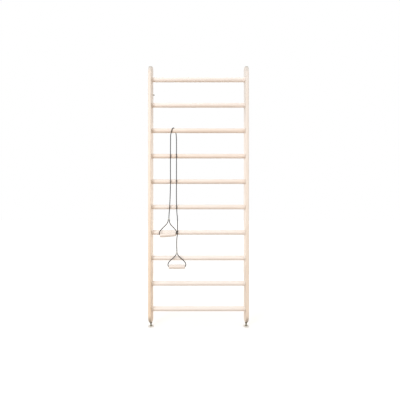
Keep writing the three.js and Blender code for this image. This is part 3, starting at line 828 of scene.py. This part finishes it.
def oneScrew(name, sizes):  # head at 0, tip along +X, with its socket and thread
    head, shank, length = sizes["head"] / 2, sizes["shank"] / 2, sizes["length"]
    edge, plain, tip = screwShape["headEdge"], length * screwShape["plain"], length - sizes["tip"]
    profile = [(0.0, 0.0), (head - edge, 0.0), (head, edge), (shank, head - shank + edge), (shank, plain)]
    for i in range(screwShape["turns"]):
        start = plain + (tip - plain) * i / screwShape["turns"]
        profile.append((shank * screwShape["root"], start + screwShape["rootAt"]))
        profile.append((shank, start + screwShape["crestAt"]))
    profile += [(shank * screwShape["tipRoot"], tip), (0.0, length)]
    screw = lathe(name, profile, "x", (0, 0, 0), screwShape["sides"])
    corner = sizes["socket"] / 2 / math.cos(math.pi / 6)
    deep, point = head * screwShape["socketDepth"], head * screwShape["socketPoint"]
    profile = [(0.0, -cutOver), (corner, -cutOver), (corner, deep), (0.0, point)]
    return cutAway(screw, [lathe("socket", profile, "x", (0, 0, 0), 6)])


def screwTree():
    tree, add, entry = newTree("screws", {"Places": "Object", "Screw": "Object", "Material": "Material"})
    spots = add("GeometryNodeObjectInfo", links={"Object": (entry, "Places")})
    screw = add("GeometryNodeObjectInfo", links={"Object": (entry, "Screw")})
    aim = add("GeometryNodeInputNamedAttribute", {"data_type": "FLOAT_VECTOR"}, {"Name": "aim"})
    sixth = {3: math.pi / 3, "Seed": 7}  # past a sixth of a turn the socket repeats
    spin = add("FunctionNodeRandomValue", {"data_type": "FLOAT"}, sixth)
    ownTurn = add("ShaderNodeCombineXYZ", links={"X": (spin, 1)})
    facing = add("FunctionNodeAlignRotationToVector", {"axis": "X"}, links={"Vector": (aim, 0)})
    turns = {"Rotation": (facing, 0), "Rotate By": (ownTurn, 0)}
    turned = add("FunctionNodeRotateRotation", {"rotation_space": "LOCAL"}, links=turns)
    copies = {"Points": (spots, "Geometry"), "Instance": (screw, "Geometry"), "Rotation": (turned, 0)}
    endTree(add, add("GeometryNodeInstanceOnPoints", links=copies), entry)
    return tree


def setScrews(name, spots, nodes):
    mesh = bpy.data.meshes.new(name + "Places")
    mesh.from_pydata([spot for spot, way in spots], [], [])
    aim = mesh.attributes.new("aim", "FLOAT_VECTOR", "POINT")
    for item, (spot, way) in zip(aim.data, spots):
        item.vector = way
    places = addObject(name + "Places", mesh)
    model = oneScrew(name + "Model", screwSets[name])
    screws = runTree(screwsByPlace, name, {"Places": places, "Screw": model, "Material": zincMaterial})
    bpy.data.objects.remove(places)
    bpy.data.objects.remove(model)
    return place(screws, "frame", "zinc", *nodes)


screwsByPlace = screwTree()
rungHeadX = upright["inner"] + upright["thickness"] - upright["headSink"]
plateHeadY = upright["depth"] / 2 - wallPlate["headSink"]
rungSpots, plateSpots, rungNodes, plateNodes = [], [], [], []
for side, sign in sideSigns.items():
    for i in range(rungSet["count"]):
        rungSpots.append(((sign * rungHeadX, 0, rungSet["lowest"] + i * rungSet["pitch"]), (-sign, 0, 0)))
        rungNodes.append(f"rung_screw_{side}_{i + 1:02d}")
    for i, end in enumerate((-1, 1)):
        height = wallPlate["middle"] + end * wallPlate["screwSpacing"] / 2
        plateSpots.append(((sign * footPlace["middle"], plateHeadY, height), (0, -1, 0)))
        plateNodes.append(f"plate_screw_{side}_{i + 1}")
setScrews("rungScrews", rungSpots, rungNodes)
setScrews("plateScrews", plateSpots, plateNodes)
print("screws driven")

# Screw feet: insert in the upright, lock nut under it, threaded stem with a cone, and a pad
footNut = {
    "flats": 0.019, "height": 0.006, "edge": 0.0003, "edgeSteps": 2,
    "ease": 0.0007, "cornerCut": 0.0013, "cornerSlope": 0.58,
}
footPad = {
    "diameter": 0.05, "thickness": 0.006, "edge": 0.0008, "topRound": 0.0022, "topSteps": 6,
    "recess": 0.0015, "easeWidth": 0.0012, "easeDepth": 0.0004,
    "rim": 0.006, "rimLip": 0.0006, "hollow": 0.0012, "sides": 64,
}


def insertProfile(bore):
    under, rim, edge = footPlace["length"], footInsert["rim"], footInsert["flangeEdge"]
    seat, top = under + footInsert["flangeThickness"], under + footInsert["barrelLength"]
    flange, barrel = footInsert["flange"] / 2, footInsert["barrel"] / 2
    profile = [(bore, under + rim), (bore + rim, under), (flange - rim, under), (flange, under + rim)]
    profile += [(flange, seat - edge), (flange - edge, seat), (barrel, seat), (barrel, top), (bore, top)]
    return profile + profile[:1]


def hexNut(name, at, bore):
    high = footPlace["length"] - footPlace["gap"]
    low = high - footNut["height"]
    corner = footNut["flats"] / 2 / math.cos(math.pi / 6)
    outline = arcPoints(at, corner, 0, 300, 5)
    finish = (footNut["edge"], footNut["edgeSteps"], footMaterial)
    nut = roundedBoard(name, outline, low, high, lambda u, v, w: (u, v, w), *finish)
    ease, cut = footNut["ease"], footNut["cornerCut"]
    through = [(0.0, low - cutOver), (bore + ease, low - cutOver), (bore + ease, low), (bore, low + ease)]
    through += [(radius, high + low - z) for radius, z in through[::-1]]
    rim = [(corner - cut, low), (corner + cutOver, low + (cut + cutOver) * footNut["cornerSlope"])]
    rim += [(corner + cutOver, low - cutOver), (corner - cut, low - cutOver), (corner - cut, low)]
    topRim = [(radius, high + low - z) for radius, z in rim]
    profiles = (through, rim, topRim)
    cutters = [lathe("nutCutter", profile, "z", at, footPlace["sides"]) for profile in profiles]
    return cutAway(nut, cutters)


def threadedStem(name, at):
    radius, base, pitch = footStem["diameter"] / 2, footStem["base"] / 2, footStem["threadPitch"]
    bottom, top, topEdge = footStem["bottom"], footStem["top"], footStem["topEdge"]
    shoulder = bottom + footStem["baseThickness"]
    edge, coneFoot = footStem["baseEdge"], base - footStem["coneEdge"]
    coneTop = shoulder + footStem["cone"]
    profile = [(0.0, bottom), (base - edge, bottom), (base, bottom + edge)]
    profile += [(base, shoulder - footStem["coneEdge"]), (coneFoot, shoulder)]
    for i in range(footStem["coneSteps"]):  # a hollow-sided cone up to the thread
        share = (i + 1) / footStem["coneSteps"]
        wide = radius + (coneFoot - radius) * (1 - share) ** footStem["coneHollow"]
        profile.append((wide, shoulder + footStem["cone"] * share))
    threadLow = coneTop + topEdge
    span = top - topEdge - threadLow
    threadSteps = round(span / pitch * footStem["stepsInPitch"])
    runOut = footStem["runOutSteps"] * span / threadSteps
    for i in range(threadSteps + 1):
        profile.append((radius, threadLow + span * i / threadSteps))
    profile += [(radius - topEdge, top), (0.0, top)]

    def thread(size, z, turned):
        if not coneTop + topEdge / 2 < z < top - topEdge / 2:
            return size
        phase = ((z - coneTop) / pitch - turned) % 1.0
        return size - footStem["threadDepth"] * min(1.0, (z - threadLow) / runOut) * abs(2 * phase - 1)

    return lathe(name, profile, "z", at, footStem["sides"], footMaterial, footStem["sharp"], thread)


def padProfile():
    radius, thick, edge = footPad["diameter"] / 2, footPad["thickness"], footPad["edge"]
    recess, floor = footStem["base"] / 2 + footPlace["gap"], thick - footPad["recess"]
    rim, hollow, topRound = radius - footPad["rim"], footPad["hollow"], footPad["topRound"]
    profile = [(0.0, hollow), (rim, hollow), (rim - footPad["rimLip"], 0.0)]
    profile += [(radius - edge, 0.0), (radius, edge)]
    profile += arcPoints((radius - topRound, thick - topRound), topRound, 0, 90, footPad["topSteps"])
    profile += [(recess + footPad["easeWidth"], thick), (recess, thick - footPad["easeDepth"])]
    return profile + [(recess, floor), (0.0, floor)]


def makeFoot(side):
    at = (sideSigns[side] * footPlace["middle"], footPlace["setBack"], 0)
    bore = footStem["diameter"] / 2 + footPlace["gap"]
    word = side.title()
    insert = lathe(f"footInsert{word}", insertProfile(bore), "z", at, footPlace["sides"], footMaterial)
    place(insert, "frame", "zinc", f"foot_insert_{side}")
    place(hexNut(f"footNut{word}", at, bore), "frame", "zinc", f"foot_nut_{side}")
    place(threadedStem(f"footStem{word}", at), f"{side}_foot_stem", "zinc", f"foot_stem_{side}")
    pad = lathe(f"footPad{word}", padProfile(), "z", at, footPad["sides"], polyamideMaterial)
    place(pad, f"{side}_foot_pad", "pad", f"foot_pad_{side}")


for side in sideSigns:
    makeFoot(side)
print("feet screwed in")

# Grips: turned birch with a slight belly, bored for the yoke
gripShape = {
    "length": 0.138, "middle": 0.018, "end": 0.0165, "endRound": 0.004, "endSteps": 8, "bellySteps": 24,
    "bore": 0.004, "flare": 0.0075, "mouth": 0.009,
    "mouthRim": [(-0.0006, 0.0009), (0.0, 0.0002), (0.0004, 0.0)],  # past the flare, and in from the end
    "endGrain": (0.6, 1.0), "sides": 64,
}


def makeGrip(side):
    handle = pullHandles[side]
    half, end, endRound = gripShape["length"] / 2, gripShape["end"], gripShape["endRound"]
    bore, flared = gripShape["bore"], gripShape["bore"] + gripShape["flare"]
    rightEnd = arcPoints((end - endRound, half - endRound), endRound, 0, 90, gripShape["endSteps"])
    rightEnd += [(flared + out, half - deep) for out, deep in gripShape["mouthRim"][::-1]]
    rightEnd.append((bore, half - gripShape["mouth"]))
    profile = [(radius, -reach) for radius, reach in rightEnd[::-1]]
    straight, steps = half - endRound, gripShape["bellySteps"]
    for i in range(1, steps):
        x = -straight + 2 * straight * i / steps
        belly = (gripShape["middle"] - end) * (1 - (x / straight) ** 2)
        profile.append((end + belly, x))
    profile += rightEnd
    profile.append(profile[0])
    grip = lathe(f"grip{side.title()}", profile, "x", (0, 0, 0), gripShape["sides"], gripBirch)
    markEndGrain(grip, xWay, gripShape["endGrain"])
    grip.data.transform(Matrix.Translation(handle["grip"]) @ Matrix.Rotation(handle["tilt"], 4, "Y"))
    return place(grip, f"{side}_grip", "wood", f"grip_{side}")


for side in sideSigns:
    makeGrip(side)
print("grips threaded on")

# Stage: a pale floor that keeps a soft shadow, an even white world and broad soft lamps
studio = {
    "floor": "#b4b3b2", "floorHalf": 12, "bounce": "#a08a70",
    "nearLift": 0.63,  # the floor's own white where the bars stand
    "farLift": 0.81, "farOff": 4.5,
    "ambient": 0.66, "ambientTint": "#fff6ec", "background": "#ffffff",
}
lamps = {  # each aims at the middle axis of the bars, at the height given
    "key": {"power": 95.0, "tint": "#fafcff", "size": (1.8, 1.8), "at": (-2.3, -3.6, 2.2), "aim": 1.1},
    "fill": {"power": 22.0, "tint": "#ffffff", "size": (2.2, 2.0), "at": (2.0, -3.4, 1.3), "aim": 1.1},
    "top": {"power": 14.0, "tint": "#ffffff", "size": (2.4, 1.2), "at": (0, -0.3, 4.2), "aim": 1.0},
    "behind": {"power": 14.0, "tint": "#fff4ea", "size": (2.6, 2.2), "at": (0, 1.7, 1.2), "aim": 1.1},
}


def directView(add):  # 1 for what the camera sees, also in a mirror or through glass
    rays = add("LightPath")
    seen = (rays, "Is Camera Ray")
    for kind in ("Is Glossy Ray", "Is Transmission Ray"):
        seen = (add("Math", {"operation": "MAXIMUM"}, links={0: seen, 1: (rays, kind)}), 0)
    return seen


def paleFloor():
    material = bpy.data.materials.new("paleFloor")
    add = emptyTree(material)
    seen = directView(add)
    where = add("TexCoord")
    off = add("VectorMath", {"operation": "LENGTH"}, links={0: (where, "Object")})
    limits = {"From Max": studio["farOff"], "To Min": studio["nearLift"], "To Max": studio["farLift"]}
    evenWhite = add("MapRange", {}, limits, {"Value": (off, "Value")})
    lift = add("Math", {"operation": "MULTIPLY"}, links={0: seen, 1: (evenWhite, 0)})
    glow = add("Emission", links={"Strength": (lift, 0)})
    tones = {6: linear(studio["bounce"]), 7: linear(studio["floor"])}
    tone = add("Mix", {"data_type": "RGBA"}, tones, {0: seen})
    paint = add("BsdfDiffuse", links={"Color": (tone, 2)})
    both = add("AddShader", links={0: (paint, 0), 1: (glow, 0)})
    add("OutputMaterial", links={"Surface": (both, 0)})
    return material


def makeFloor():
    half = studio["floorHalf"]
    corners = [(-half, -half, 0), (half, -half, 0), (half, half, 0), (-half, half, 0)]
    mesh = bpy.data.meshes.new("floor")
    mesh.from_pydata(corners, [], [(0, 1, 2, 3)])
    mesh.materials.append(paleFloor())
    addObject("floor", mesh)


def makeWorld():
    world = bpy.data.worlds.new("studio")
    add = emptyTree(world)
    seen = directView(add)
    limits = {"To Min": studio["ambient"], "To Max": 1.0}
    strength = add("MapRange", {}, limits, {"Value": seen})
    tones = {6: linear(studio["ambientTint"]), 7: linear(studio["background"])}
    tone = add("Mix", {"data_type": "RGBA"}, tones, {0: seen})
    sky = add("Background", links={"Color": (tone, 2), "Strength": (strength, 0)})
    add("OutputWorld", links={"Surface": (sky, 0)})
    scene.world = world


def softLamp(name, lamp):
    data = bpy.data.lights.new(name, "AREA")
    data.energy = lamp["power"]
    data.color = linear(lamp["tint"])[:3]
    data.shape = "RECTANGLE"
    data.size, data.size_y = lamp["size"]
    obj = addObject(name, data)
    obj.location = lamp["at"]
    obj.rotation_euler = (zWay * lamp["aim"] - Vector(lamp["at"])).to_track_quat("-Z", "Y").to_euler()
    obj.visible_camera = False


makeFloor()
makeWorld()
for name, lamp in lamps.items():
    softLamp(name, lamp)
print("stage lit")
